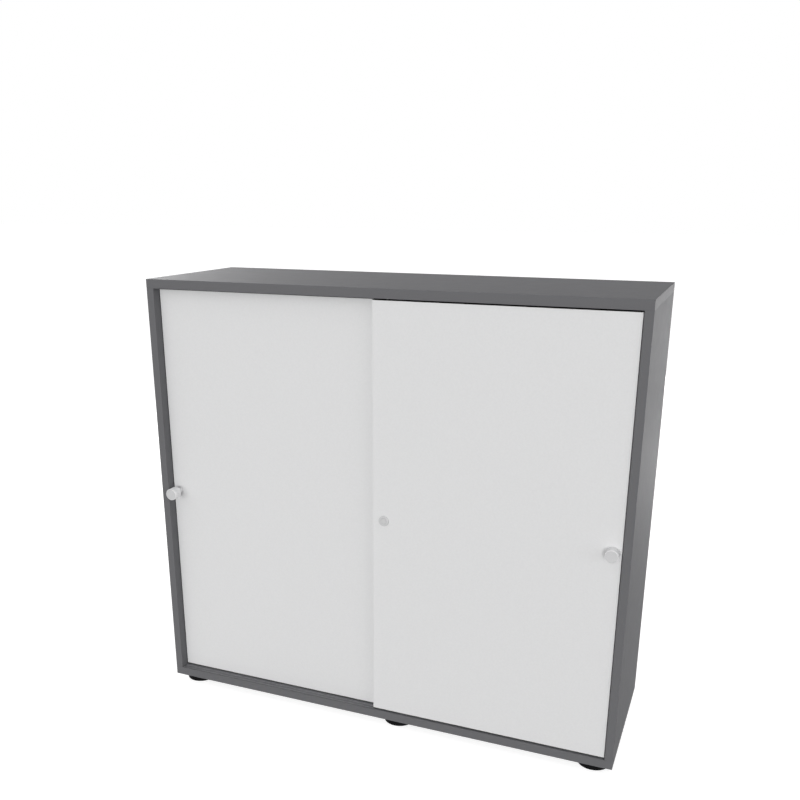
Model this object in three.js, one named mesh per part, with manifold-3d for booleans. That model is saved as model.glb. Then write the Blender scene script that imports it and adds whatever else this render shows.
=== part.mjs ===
// Office cabinet with two sliding doors, a middle wall and adjustable shelves.
// Millimetres, +Z up. X = 0 is the middle of the width, the front faces -Y, the floor is Z = 0.

import * as THREE from "three";
import { mergeVertices } from "three/addons/utils/BufferGeometryUtils.js";
import Module from "manifold-3d";

// Carcass
const CABINET_WIDTH = 1200;
const CABINET_DEPTH = 400;
const CARCASS_HEIGHT = 1080;
const SIDE_THICKNESS = 19;
const TOP_THICKNESS = 22;
const BOTTOM_THICKNESS = 22;
const SEAT_GAP = 0.3; // between two pieces that bear on each other
const CUT_OVERRUN = 2; // how far a cutting shape runs out of the face it opens

// Back panel, held in grooves all round
const BACK_THICKNESS = 8;
const BACK_INSET = 12;
const BACK_TONGUE = 7;
const GROOVE_CLEARANCE = 1;

// Middle wall and shelves
const PARTITION_THICKNESS = 19;
const PARTITION_CLEARANCE = 10; // behind the rear door
const SHELF_THICKNESS = 19;
const SHELF_CLEARANCE = 0.75;
const SHELF_SETBACK = 3; // behind the middle wall's front edge
const SHELF_NAMES = ["lower", "upper"];
const PIN_RADIUS = 2.5;
const PIN_HOLE_DEPTH = 8;
const PIN_REACH = 9;
const PIN_INSET = 37; // from the shelf's front and rear edges

// Doors
const DOOR_THICKNESS = 16;
const DOOR_SETBACK = 4; // front door's face behind the carcass front
const DOOR_SPACING = 4; // between the two doors
const DOOR_END_GAP = 2;
const DOOR_LOWER_GAP = 3;
const DOOR_UPPER_GAP = 3;
const LEFT_DOOR_REACH = 20; // past the middle
const RIGHT_DOOR_REACH = 5; // past the middle

// Lower track and door rollers
const TRACK_BORDER = 8; // beyond each roller channel's middle line
const TRACK_THICKNESS = 5;
const CHANNEL_DEPTH = 2;
const CHANNEL_CLEARANCE = 0.7;
const WHEEL_RADIUS = 12;
const WHEEL_THICKNESS = 5;
const WHEEL_CHAMFER = 0.6;
const WHEEL_CLEARANCE = 1; // round the tread inside the housing
const WHEEL_SIDE_CLEARANCE = 0.5;
const AXLE_RADIUS = 2.5;
const AXLE_CLEARANCE = 0.3;
const HOUSING_WALL = 3.5;
const HOUSING_FRONT_WALL = 1.7;
const ROLLER_INSET = 80; // wheel axle from the door's end

// Upper rail and door guides
const RAIL_THICKNESS = 12;
const RAIL_GROOVE_DEPTH = 9;
const GUIDE_LENGTH = 14;
const GUIDE_THICKNESS = 5;
const GUIDE_CLEARANCE = 0.6;
const GUIDE_ROOT = 18; // inside the door
const GUIDE_RISE = 7; // into the rail's groove

// Knobs
const KNOB_RADIUS = 15;
const KNOB_LENGTH = 25;
const KNOB_CHAMFER = 0.8;
const KNOB_INSET = 19; // from the door's outer end
const HANDLE_HEIGHT = 538; // knobs and lock above the carcass underside
const STUD_RADIUS = 2;
const STUD_DEPTH = 13;
const SPACER_RADIUS = 7;

// Lock in the front door: its cam turns down in the space between the doors
const LOCK_INSET = 28.5; // from the front door's inner end
const LOCK_FLANGE_RADIUS = 12.75;
const LOCK_FLANGE_THICKNESS = 2;
const LOCK_TUBE_RADIUS = 9.5;
const LOCK_COLLAR = 3;
const LOCK_CLEARANCE = 0.3;
const PLUG_RADIUS = 7;
const PLUG_PROUD = 0.5; // beyond the flange
const PLUG_NECK_RADIUS = 3.5;
const KEYWAY_WIDTH = 1.4;
const KEYWAY_HEIGHT = 7;
const KEYWAY_DEPTH = 3;
const CAM_RADIUS = 4.5; // half the cam's width
const CAM_REACH = 17; // from the plug's axis to the cam's tip
const CAM_THICKNESS = 2;
const CAM_CLEARANCE = 0.8; // behind the front door

// Striker stud on the rear door, which the turned cam stops
const STRIKER_RADIUS = 2;
const STRIKER_PROUD = 3;
const STRIKER_DEPTH = 11;
const STRIKER_PLAY = 2.5; // beside the turned cam
const STRIKER_PASS = 3.5; // below the cam's hub

// Levelling feet
const FOOT_HEIGHT = 20; // floor to the carcass underside
const FOOT_RADIUS = 39.5;
const FOOT_EDGE = 1;
const FOOT_TOP_RADIUS = 36;
const FOOT_SHOULDER = 3;
const FOOT_CLEARANCE = 0.5; // foot below its socket
const FOOT_INSET = 50; // from the cabinet's ends and back
const MIDDLE_FOOT_OFFSET = 50;
const STEM_RADIUS = 5;
const STEM_LENGTH = 22;
const STEM_CLEARANCE = 0.4;
const SOCKET_RADIUS = 8;
const SOCKET_FLANGE_RADIUS = 13;
const SOCKET_FLANGE_THICKNESS = 1.2;
const SOCKET_TRACK_GAP = 2;

// Facets round a circle
const SMALL_FACETS = 12;
const ROUND_FACETS = 24;
const FOOT_FACETS = 32;

// Lines across the cabinet
const outerX = CABINET_WIDTH / 2;
const innerX = outerX - SIDE_THICKNESS;
const partitionX = PARTITION_THICKNESS / 2;

// Lines from front to back: the knobs count in the depth that is centred on Y = 0
const knobProud = KNOB_LENGTH - DOOR_SETBACK;
const frontY = (knobProud - CABINET_DEPTH) / 2;
const backY = frontY + CABINET_DEPTH;
const backPanelRearY = backY - BACK_INSET;
const backPanelFrontY = backPanelRearY - BACK_THICKNESS;
const doorPitch = DOOR_THICKNESS + DOOR_SPACING;
const frontDoorY = frontY + DOOR_SETBACK;
const rearDoorY = frontDoorY + doorPitch;
const trackFrontY = frontDoorY + DOOR_THICKNESS / 2 - TRACK_BORDER;
const trackBackY = rearDoorY + DOOR_THICKNESS / 2 + TRACK_BORDER;
const partitionFrontY = rearDoorY + DOOR_THICKNESS + PARTITION_CLEARANCE;
const partitionBackY = backPanelFrontY - SEAT_GAP;
const shelfFrontY = partitionFrontY + SHELF_SETBACK;
const shelfBackY = backPanelFrontY - SHELF_CLEARANCE;

// Lines up the cabinet
const undersideZ = FOOT_HEIGHT;
const topZ = undersideZ + CARCASS_HEIGHT;
const floorZ = undersideZ + BOTTOM_THICKNESS;
const ceilingZ = topZ - TOP_THICKNESS;
const doorBottomZ = floorZ + DOOR_LOWER_GAP;
const doorTopZ = ceilingZ - DOOR_UPPER_GAP;
const handleZ = undersideZ + HANDLE_HEIGHT;
const channelZ = floorZ - CHANNEL_DEPTH;
const axleZ = channelZ + SEAT_GAP + WHEEL_RADIUS;
const shelfStack = SHELF_NAMES.length * SHELF_THICKNESS;
const bayHeight = (ceilingZ - floorZ - shelfStack) / (SHELF_NAMES.length + 1);

const materials = {
  board: new THREE.MeshStandardMaterial({ color: 0x6c6c6f, roughness: 0.6, metalness: 0 }),
  door: new THREE.MeshStandardMaterial({ color: 0xd9d9d8, roughness: 0.55, metalness: 0 }),
  silver: new THREE.MeshStandardMaterial({ color: 0xc6c6c6, roughness: 0.35, metalness: 0.7 }),
  steel: new THREE.MeshStandardMaterial({ color: 0x9a9b9d, roughness: 0.3, metalness: 1 }),
  track: new THREE.MeshStandardMaterial({ color: 0x6c6c6f, roughness: 0.45, metalness: 0 }),
  roller: new THREE.MeshStandardMaterial({ color: 0xe6e4de, roughness: 0.4, metalness: 0 }),
  black: new THREE.MeshStandardMaterial({ color: 0x1b1b1c, roughness: 0.6, metalness: 0 }),
};

const cabinet = new THREE.Group();
const wasm = await Module();
wasm.setup();

// A closed geometry as a solid that can be cut and joined
function solidOf(geometry) {
  const bare = geometry.clone();
  bare.deleteAttribute("normal");
  bare.deleteAttribute("uv");
  const merged = mergeVertices(bare);
  const mesh = new wasm.Mesh({
    numProp: 3,
    vertProperties: merged.attributes.position.array,
    triVerts: new Uint32Array(merged.index.array),
  });
  return new wasm.Manifold(mesh);
}

function geometryOf(solid) {
  const mesh = solid.getMesh();
  const geometry = new THREE.BufferGeometry();
  geometry.setAttribute("position", new THREE.BufferAttribute(mesh.vertProperties, mesh.numProp));
  geometry.setIndex(new THREE.BufferAttribute(mesh.triVerts, 1));
  geometry.computeVertexNormals();
  return geometry;
}

function carve(whole, cuts) {
  return geometryOf(cuts.reduce((solid, cut) => solid.subtract(solidOf(cut)), solidOf(whole)));
}

function join(pieces) {
  return geometryOf(pieces.map(solidOf).reduce((solid, piece) => solid.add(piece)));
}

// A block between two values on each axis
function block([x0, x1], [y0, y1], [z0, z1]) {
  const geometry = new THREE.BoxGeometry(x1 - x0, y1 - y0, z1 - z0);
  return geometry.translate((x0 + x1) / 2, (y0 + y1) / 2, (z0 + z1) / 2);
}

// Round rods between two values on their own axis
function rodX(radius, [x0, x1], y, z) {
  const geometry = new THREE.CylinderGeometry(radius, radius, x1 - x0, SMALL_FACETS);
  return geometry.rotateZ(Math.PI / 2).translate((x0 + x1) / 2, y, z);
}

function rodY(radius, [y0, y1], x, z, facets = SMALL_FACETS) {
  const geometry = new THREE.CylinderGeometry(radius, radius, y1 - y0, facets);
  return geometry.translate(x, (y0 + y1) / 2, z);
}

function rodZ(radius, [z0, z1], x, y, facets = ROUND_FACETS) {
  const geometry = new THREE.CylinderGeometry(radius, radius, z1 - z0, facets);
  return geometry.rotateX(Math.PI / 2).translate(x, y, (z0 + z1) / 2);
}

// A shape turned about its own axis, from [radius, height] points
function turned(points, facets) {
  return new THREE.LatheGeometry(points.map(([r, h]) => new THREE.Vector2(r, h)), facets);
}

function add(name, material, geometry, x = 0, y = 0, z = 0) {
  const mesh = new THREE.Mesh(geometry, material);
  mesh.name = name;
  mesh.position.set(x, y, z);
  cabinet.add(mesh);
  return mesh;
}

// The groove ring that takes the back panel's edges, cut from every board round it
function backGroove() {
  const reach = BACK_TONGUE + GROOVE_CLEARANCE;
  const across = [-innerX - reach, innerX + reach];
  const up = [floorZ - reach, ceilingZ + reach];
  return block(across, [backPanelFrontY - SEAT_GAP, backPanelRearY + SEAT_GAP], up);
}

function backPanel() {
  const across = [-innerX - BACK_TONGUE, innerX + BACK_TONGUE];
  const up = [floorZ - BACK_TONGUE, ceilingZ + BACK_TONGUE];
  add("back_panel", materials.board, block(across, [backPanelFrontY, backPanelRearY], up));
}

function topPanel() {
  const whole = block([-outerX, outerX], [frontY, backY], [ceilingZ, topZ]);
  const bed = block(
    [-innerX, innerX],
    [trackFrontY - SEAT_GAP, trackBackY + SEAT_GAP],
    [ceilingZ - CUT_OVERRUN, ceilingZ + RAIL_THICKNESS + SEAT_GAP],
  );
  add("top_panel", materials.board, carve(whole, [bed, backGroove()]));
}

function bottomPanel() {
  const whole = block([-outerX, outerX], [frontY, backY], [undersideZ, floorZ]);
  const bed = block(
    [-innerX, innerX],
    [trackFrontY - SEAT_GAP, trackBackY + SEAT_GAP],
    [floorZ - TRACK_THICKNESS - SEAT_GAP, floorZ + CUT_OVERRUN],
  );
  const up = [undersideZ - CUT_OVERRUN, floorZ + CUT_OVERRUN];
  const holes = footPlaces.map(({ x, y }) => rodZ(SOCKET_RADIUS + SEAT_GAP, up, x, y));
  add("bottom_panel", materials.board, carve(whole, [bed, backGroove(), ...holes]));
}

// Blind holes for the shelf pins that enter the board face at x, going towards the given side
function pinHoles(x, side) {
  const span = [x - side * CUT_OVERRUN, x + side * PIN_HOLE_DEPTH].sort((a, b) => a - b);
  return shelfUndersides.flatMap((z) =>
    pinYs.map((y) => rodX(PIN_RADIUS + SEAT_GAP, span, y, z - SEAT_GAP - PIN_RADIUS)),
  );
}

function sidePanels() {
  const up = [floorZ + SEAT_GAP, ceilingZ - SEAT_GAP];
  for (const [name, side] of [["left_side_panel", -1], ["right_side_panel", 1]]) {
    const across = [side * innerX, side * outerX].sort((a, b) => a - b);
    const whole = block(across, [frontY, backY], up);
    add(name, materials.board, carve(whole, [backGroove(), ...pinHoles(side * innerX, side)]));
  }
}

function partition() {
  const up = [floorZ + SEAT_GAP, ceilingZ - SEAT_GAP];
  const whole = block([-partitionX, partitionX], [partitionFrontY, partitionBackY], up);
  const holes = [...pinHoles(-partitionX, 1), ...pinHoles(partitionX, -1)];
  add("centre_partition", materials.board, carve(whole, holes));
}

const shelfUndersides = SHELF_NAMES.map(
  (name, level) => floorZ + (level + 1) * bayHeight + level * SHELF_THICKNESS,
);
const pinYs = [shelfFrontY + PIN_INSET, shelfBackY - PIN_INSET];

// Four loose shelves, each on four pins
function shelves() {
  for (const [bay, side] of [["left", -1], ["right", 1]]) {
    const inner = side * (partitionX + SHELF_CLEARANCE);
    const outer = side * (innerX - SHELF_CLEARANCE);
    shelfUndersides.forEach((z, level) => {
      const across = [inner, outer].sort((a, b) => a - b);
      const board = block(across, [shelfFrontY, shelfBackY], [z, z + SHELF_THICKNESS]);
      const name = `shelf_${bay}_${SHELF_NAMES[level]}`;
      add(name, materials.board, board);
      shelfPins(name, side * partitionX, -side, z);
      shelfPins(name, side * innerX, side, z);
    });
  }
}

// The two pins under one end of a shelf, in the board face at x
function shelfPins(shelf, x, side, z) {
  const end = side > 0 ? "right" : "left";
  const span = [
    x + side * (PIN_HOLE_DEPTH - SEAT_GAP),
    x - side * PIN_REACH,
  ].sort((a, b) => a - b);
  pinYs.forEach((y, i) => {
    const row = i ? "back" : "front";
    const pin = rodX(PIN_RADIUS, span, y, z - SEAT_GAP - PIN_RADIUS);
    add(`${shelf}_pin_${end}_${row}`, materials.steel, pin);
  });
}

// Twin lower track, flush in the bottom panel, with one shallow channel for each door's wheels
function lowerTrack() {
  const across = [-innerX + SEAT_GAP, innerX - SEAT_GAP];
  const whole = block(across, [trackFrontY, trackBackY], [floorZ - TRACK_THICKNESS, floorZ]);
  const half = WHEEL_THICKNESS / 2 + CHANNEL_CLEARANCE;
  const channels = [frontDoorY, rearDoorY].map((y) => {
    const middle = y + DOOR_THICKNESS / 2;
    return block(
      [-innerX - CUT_OVERRUN, innerX + CUT_OVERRUN],
      [middle - half, middle + half],
      [channelZ, floorZ + CUT_OVERRUN],
    );
  });
  add("lower_track", materials.track, carve(whole, channels));
}

// Twin upper rail, flush in the top panel, with one groove for each door's guides
function upperRail() {
  const across = [-innerX + SEAT_GAP, innerX - SEAT_GAP];
  const whole = block(across, [trackFrontY, trackBackY], [ceilingZ, ceilingZ + RAIL_THICKNESS]);
  const half = GUIDE_THICKNESS / 2 + GUIDE_CLEARANCE;
  const grooves = [frontDoorY, rearDoorY].map((y) => {
    const middle = y + DOOR_THICKNESS / 2;
    return block(
      [-innerX - CUT_OVERRUN, innerX + CUT_OVERRUN],
      [middle - half, middle + half],
      [ceilingZ - CUT_OVERRUN, ceilingZ + RAIL_GROOVE_DEPTH],
    );
  });
  add("upper_rail", materials.track, carve(whole, grooves));
}

const doors = {
  left: { x0: -innerX + DOOR_END_GAP, x1: LEFT_DOOR_REACH, y: rearDoorY, knobReach: doorPitch },
  right: { x0: -RIGHT_DOOR_REACH, x1: innerX - DOOR_END_GAP, y: frontDoorY, knobReach: 0 },
};
doors.left.knobX = doors.left.x0 + KNOB_INSET;
doors.right.knobX = doors.right.x1 - KNOB_INSET;
const lockX = doors.right.x0 + LOCK_INSET;
const strikerX = lockX - CAM_RADIUS - STRIKER_PLAY - STRIKER_RADIUS;
const strikerZ = handleZ - CAM_RADIUS - STRIKER_PASS - STRIKER_RADIUS;

function rollerXs({ x0, x1 }) {
  return [x0 + ROLLER_INSET, x1 - ROLLER_INSET];
}

// The roller housing's outline, grown by a gap for the pocket that takes it
function housingBlock(door, x, gap) {
  const half = WHEEL_RADIUS + WHEEL_CLEARANCE + HOUSING_WALL + gap;
  const middle = door.y + DOOR_THICKNESS / 2;
  const front = middle - WHEEL_THICKNESS / 2 - WHEEL_SIDE_CLEARANCE - HOUSING_FRONT_WALL - gap;
  const top = axleZ + WHEEL_RADIUS + WHEEL_CLEARANCE + HOUSING_WALL + gap;
  const over = gap ? CUT_OVERRUN : 0;
  return block(
    [x - half, x + half],
    [front, door.y + DOOR_THICKNESS + over],
    [doorBottomZ - over, top],
  );
}

// A bar with round ends between two values of X, standing along Z from zero
function roundBar(radius, [x0, x1], length) {
  const outline = new THREE.Shape();
  outline.absarc(x1 - radius, 0, radius, -Math.PI / 2, Math.PI / 2, false);
  outline.absarc(x0 + radius, 0, radius, Math.PI / 2, (3 * Math.PI) / 2, false);
  return new THREE.ExtrudeGeometry(outline, {
    depth: length,
    bevelEnabled: false,
    curveSegments: SMALL_FACETS / 2,
  });
}

// A door guide's outline, grown by a gap for the slot that takes it
function guideBar(door, x, gap, [z0, z1]) {
  const half = GUIDE_LENGTH / 2 + gap;
  const bar = roundBar(GUIDE_THICKNESS / 2 + gap, [-half, half], z1 - z0);
  return bar.translate(x, door.y + DOOR_THICKNESS / 2, z0);
}

function doorBoard(side) {
  const door = doors[side];
  const thick = [door.y, door.y + DOOR_THICKNESS];
  const through = [door.y - CUT_OVERRUN, door.y + DOOR_THICKNESS + CUT_OVERRUN];
  const board = block([door.x0, door.x1], thick, [doorBottomZ, doorTopZ]);
  const cuts = rollerXs(door).flatMap((x) => [
    housingBlock(door, x, SEAT_GAP),
    guideBar(door, x, SEAT_GAP, [doorTopZ - GUIDE_ROOT - SEAT_GAP, doorTopZ + CUT_OVERRUN]),
  ]);
  cuts.push(rodY(STUD_RADIUS + SEAT_GAP, through, door.knobX, handleZ));
  if (side === "right") {
    cuts.push(rodY(LOCK_TUBE_RADIUS + SEAT_GAP, through, lockX, handleZ, ROUND_FACETS));
  } else {
    const hole = [door.y - CUT_OVERRUN, door.y + STRIKER_DEPTH + SEAT_GAP];
    cuts.push(rodY(STRIKER_RADIUS + SEAT_GAP, hole, strikerX, strikerZ));
  }
  add(`${side}_door`, materials.door, carve(board, cuts));
}

// A housing let into the door's lower edge, with the wheel's axle pin across its slot
function rollerHousing(name, door, x) {
  const middle = door.y + DOOR_THICKNESS / 2;
  const half = WHEEL_RADIUS + WHEEL_CLEARANCE;
  const gap = WHEEL_THICKNESS / 2 + WHEEL_SIDE_CLEARANCE;
  const slot = block(
    [x - half, x + half],
    [middle - gap, middle + gap],
    [doorBottomZ - CUT_OVERRUN, axleZ + half],
  );
  const pinEnds = [middle - gap - HOUSING_FRONT_WALL / 2, middle + gap + HOUSING_WALL / 2];
  const walls = carve(housingBlock(door, x, 0), [slot]);
  add(name, materials.black, join([walls, rodY(AXLE_RADIUS, pinEnds, x, axleZ)]));
}

function wheel(name, door, x) {
  const half = WHEEL_THICKNESS / 2;
  const bore = AXLE_RADIUS + AXLE_CLEARANCE;
  const tread = WHEEL_RADIUS - WHEEL_CHAMFER;
  const ring = turned(
    [
      [bore, -half],
      [tread, -half],
      [WHEEL_RADIUS, -half + WHEEL_CHAMFER],
      [WHEEL_RADIUS, half - WHEEL_CHAMFER],
      [tread, half],
      [bore, half],
      [bore, -half],
    ],
    ROUND_FACETS,
  );
  add(name, materials.roller, ring, x, door.y + DOOR_THICKNESS / 2, axleZ);
}

function doorRunners(side) {
  const door = doors[side];
  rollerXs(door).forEach((x, i) => {
    const end = i ? "right" : "left";
    rollerHousing(`${side}_door_roller_housing_${end}`, door, x);
    wheel(`${side}_door_wheel_${end}`, door, x);
    const up = [doorTopZ - GUIDE_ROOT, ceilingZ + GUIDE_RISE];
    add(`${side}_door_guide_${end}`, materials.black, guideBar(door, x, 0, up));
  });
}

// A short plain knob with its stud. The rear door's knob stands on a spacer, level with the other
function knob(side) {
  const door = doors[side];
  const seat = -SEAT_GAP - door.knobReach;
  const face = -KNOB_LENGTH - door.knobReach;
  const shape = turned(
    [
      [0, face],
      [KNOB_RADIUS - KNOB_CHAMFER, face],
      [KNOB_RADIUS, face + KNOB_CHAMFER],
      [KNOB_RADIUS, seat],
      [STUD_RADIUS, seat],
      [STUD_RADIUS, STUD_DEPTH],
      [0, STUD_DEPTH],
    ],
    ROUND_FACETS,
  );
  add(`${side}_knob`, materials.silver, shape, door.knobX, door.y, handleZ);
}

function knobSpacer() {
  const door = doors.left;
  const bore = STUD_RADIUS + SEAT_GAP;
  const sleeve = turned(
    [
      [bore, -door.knobReach],
      [SPACER_RADIUS, -door.knobReach],
      [SPACER_RADIUS, -SEAT_GAP],
      [bore, -SEAT_GAP],
      [bore, -door.knobReach],
    ],
    ROUND_FACETS,
  );
  add("left_knob_spacer", materials.silver, sleeve, door.knobX, door.y, handleZ);
}

// The lock's sleeve: a flange on the door's face, a tube through it and a collar round the plug's neck
function lockHousing() {
  const bore = PLUG_RADIUS + LOCK_CLEARANCE;
  const collar = PLUG_NECK_RADIUS + LOCK_CLEARANCE;
  const step = DOOR_THICKNESS - LOCK_COLLAR;
  const face = -LOCK_FLANGE_THICKNESS - SEAT_GAP;
  const shape = turned(
    [
      [bore, face],
      [LOCK_FLANGE_RADIUS, face],
      [LOCK_FLANGE_RADIUS, -SEAT_GAP],
      [LOCK_TUBE_RADIUS, -SEAT_GAP],
      [LOCK_TUBE_RADIUS, DOOR_THICKNESS],
      [collar, DOOR_THICKNESS],
      [collar, step],
      [bore, step],
      [bore, face],
    ],
    ROUND_FACETS,
  );
  add("lock_housing", materials.silver, shape, lockX, frontDoorY, handleZ);
}

// The plug that the key turns, with a keyway in its face and the cam on the end of its neck
function lockCylinder() {
  const face = -LOCK_FLANGE_THICKNESS - SEAT_GAP - PLUG_PROUD;
  const shoulder = DOOR_THICKNESS - LOCK_COLLAR - SEAT_GAP;
  const camFront = DOOR_THICKNESS + CAM_CLEARANCE;
  const plug = turned(
    [
      [0, face],
      [PLUG_RADIUS, face],
      [PLUG_RADIUS, shoulder],
      [PLUG_NECK_RADIUS, shoulder],
      [PLUG_NECK_RADIUS, camFront + CAM_THICKNESS / 2],
      [0, camFront + CAM_THICKNESS / 2],
    ],
    ROUND_FACETS,
  );
  const cam = roundBar(CAM_RADIUS, [-CAM_RADIUS, CAM_REACH], CAM_THICKNESS);
  cam.rotateX(-Math.PI / 2).translate(0, camFront, 0);
  const keyway = block(
    [-KEYWAY_WIDTH / 2, KEYWAY_WIDTH / 2],
    [face - CUT_OVERRUN, face + KEYWAY_DEPTH],
    [-KEYWAY_HEIGHT / 2, KEYWAY_HEIGHT / 2],
  );
  const whole = join([carve(plug, [keyway]), cam]);
  add("lock_cylinder", materials.silver, whole, lockX, frontDoorY, handleZ);
}

function strikerStud() {
  const stud = rodY(STRIKER_RADIUS, [-STRIKER_PROUD, STRIKER_DEPTH], 0, 0);
  add("striker_stud", materials.steel, stud, strikerX, rearDoorY, strikerZ);
}

const frontFootY = trackBackY + SOCKET_TRACK_GAP + SOCKET_RADIUS;
const backFootY = backY - FOOT_INSET;
const footPlaces = [["front", frontFootY], ["back", backFootY]].flatMap(([row, y]) => [
  { name: `${row}_left`, x: FOOT_INSET - outerX, y },
  { name: `${row}_middle`, x: MIDDLE_FOOT_OFFSET, y },
  { name: `${row}_right`, x: outerX - FOOT_INSET, y },
]);

// A round glide on a threaded stem, turned up or down in its socket
function foot({ name, x, y }) {
  const padTop = FOOT_HEIGHT - SEAT_GAP - SOCKET_FLANGE_THICKNESS - FOOT_CLEARANCE;
  const shape = turned(
    [
      [0, 0],
      [FOOT_RADIUS - FOOT_EDGE, 0],
      [FOOT_RADIUS, FOOT_EDGE],
      [FOOT_RADIUS, padTop - FOOT_SHOULDER],
      [FOOT_TOP_RADIUS, padTop],
      [STEM_RADIUS, padTop],
      [STEM_RADIUS, padTop + STEM_LENGTH],
      [0, padTop + STEM_LENGTH],
    ],
    FOOT_FACETS,
  );
  add(`foot_${name}`, materials.black, shape.rotateX(Math.PI / 2), x, y, 0);
}

function footSocket({ name, x, y }) {
  const bore = STEM_RADIUS + STEM_CLEARANCE;
  const flangeTop = -SEAT_GAP;
  const shape = turned(
    [
      [bore, flangeTop - SOCKET_FLANGE_THICKNESS],
      [SOCKET_FLANGE_RADIUS, flangeTop - SOCKET_FLANGE_THICKNESS],
      [SOCKET_FLANGE_RADIUS, flangeTop],
      [SOCKET_RADIUS, flangeTop],
      [SOCKET_RADIUS, BOTTOM_THICKNESS - SEAT_GAP],
      [bore, BOTTOM_THICKNESS - SEAT_GAP],
      [bore, flangeTop - SOCKET_FLANGE_THICKNESS],
    ],
    ROUND_FACETS,
  );
  add(`foot_socket_${name}`, materials.black, shape.rotateX(Math.PI / 2), x, y, undersideZ);
}

topPanel();
bottomPanel();
sidePanels();
backPanel();
partition();
shelves();
lowerTrack();
upperRail();
for (const side of Object.keys(doors)) {
  doorBoard(side);
  doorRunners(side);
  knob(side);
}
knobSpacer();
lockHousing();
lockCylinder();
strikerStud();
for (const place of footPlaces) {
  foot(place);
  footSocket(place);
}

export default cabinet;
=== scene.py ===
import math

import bmesh
import bpy
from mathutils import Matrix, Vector

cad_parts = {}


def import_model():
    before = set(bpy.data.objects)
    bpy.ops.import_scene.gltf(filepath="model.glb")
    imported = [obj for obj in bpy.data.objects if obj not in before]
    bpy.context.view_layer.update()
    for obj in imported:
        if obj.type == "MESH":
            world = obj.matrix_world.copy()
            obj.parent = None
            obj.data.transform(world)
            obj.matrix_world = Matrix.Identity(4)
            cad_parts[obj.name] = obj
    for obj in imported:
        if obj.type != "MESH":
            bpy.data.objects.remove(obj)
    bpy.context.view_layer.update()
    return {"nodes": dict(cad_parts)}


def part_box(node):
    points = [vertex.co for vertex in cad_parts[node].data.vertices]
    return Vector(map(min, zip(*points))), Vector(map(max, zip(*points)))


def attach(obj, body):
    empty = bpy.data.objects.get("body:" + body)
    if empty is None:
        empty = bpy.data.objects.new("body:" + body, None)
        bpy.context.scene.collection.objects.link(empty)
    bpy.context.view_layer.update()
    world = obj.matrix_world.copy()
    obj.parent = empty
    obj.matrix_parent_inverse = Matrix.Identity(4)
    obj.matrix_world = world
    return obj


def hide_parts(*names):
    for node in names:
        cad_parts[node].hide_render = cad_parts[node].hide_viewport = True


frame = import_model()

# A cabinet with two sliding doors. Lengths are in metres, angles in degrees.

# Camera, fitted to the photograph of the cabinet
EYE = (0.7875, -2.0647, 1.2987)
AZIMUTH = 22.183
ELEVATION = 18.380
LENS = 40.846
SHIFT = (0.0214, 0.1180)
CLIP = (0.05, 200)

# Studio
DOME = 0.427  # light from all round
FLOOR_PAINT = 0.4
FLOOR_GLOW = 0.85
FLOOR_SIZE = 60

# Name, direction it comes from, spread, strength
EVEN_LIGHTS = (
    ("front_right", (0.36, -1, 0.14), 14, 1.02),
    ("front_left", (-0.12, -1, 0.14), 14, 0.54),
    ("high_left", (-0.4, -0.8, 0.9), 60, 0.42),
    ("right", (1, -0.5, 0.1), 40, 0.68),
    ("high_back", (0.3, 0.6, 1), 60, 0.3),
)

# Name, place, point it shines at, width and height, power
LAMPS = (
    ("rim_left", (-3.06, 2.57, 1.9), (0, 0, 1.0), (1.2, 1.2), 94),
    ("rim_right", (1.8, 4.0, 1.5), (0.5, 0, 0.8), (2.5, 1.2), 8),
    ("rim_far", (1.0, 5.0, 0.4), (0.6, 0, 0.7), (1.5, 0.6), 51),
    ("low_near", (0.95, 1.5, 0.3), (0.6, 0, 0.6), (0.5, 0.3), 3),
    ("low_side", (1.3, 1.8, 0.3), (0.6, 0, 0.6), (0.6, 0.4), 3.2),
)

# Colours
GREY = (0.137, 0.137, 0.143)  # carcass, back and shelves
PALE = (0.692, 0.693, 0.696)  # doors
SILVER = (0.52, 0.52, 0.525)  # knob faces and lock
# The next colour is the faces' silver made lighter: painted light on the sides and rims of the knob bodies
# and on the spacer.
SILVER_WITH_PAINTED_LIGHT = (0.74, 0.74, 0.745)  # knob bodies and spacer
ZINC = (0.62, 0.63, 0.65)
BLACK = (0.0045, 0.0045, 0.005)
RUBBER = (0.016, 0.016, 0.016)
OFF_WHITE = (0.78, 0.765, 0.72)
DARK_CHIPS = (0.20, 0.145, 0.09)
LIGHT_CHIPS = (0.52, 0.42, 0.29)
PATTERN_RANGE = (0.3, 0.7)  # values of a cloudy pattern that get the first and the last colour
RING_SCALE = 0.3  # of a ring pattern, for rings about a metre apart
SATIN = 0.34  # roughness of the knob faces and the lock
LACQUER = 0.62  # roughness of the knob bodies and the spacer

# What many pieces share
FIT = 0.0003  # round a piece that is let into another
OVERRUN = 0.002  # how far a cutting shape runs out of the face it opens
AXIS = 0.0005  # radius at which a turned face stops short of its middle
MERGE = 0.00001  # points closer than this become one
ALONG = 0.9  # share of an edge's length that lies along an axis, if the edge counts as parallel to it
EDGE_ANGLE = 30  # edges sharper than this are eased
EDGE_STEPS = 2
SMOOTH_ANGLE = 20  # faces of a round shape meet at less than this

# Boards and their edge bands
BAND = 0.001
# The glide strips are real parts, but their thickness is partly painted shade: their black darkens the gaps
# above and below the doors.
GLIDE = {"left": 0.0008, "right": 0.001}  # the front door, at the right, has the thicker strips
BAND_RADIUS = 0.0003
ARRIS = 0.00015
BUTT = 0.00025  # grows the upright boards into the joints above and below them
GROOVE_ROOM = 0.001  # past the back panel's edges, in the grooves that hold it

# Turned shapes: a table named EDGE, REAR, FRONT, FACE or TREAD gives the outline's points as two lengths,
# inward of the full radius and away from the end. The other tables give radius and height.

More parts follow.
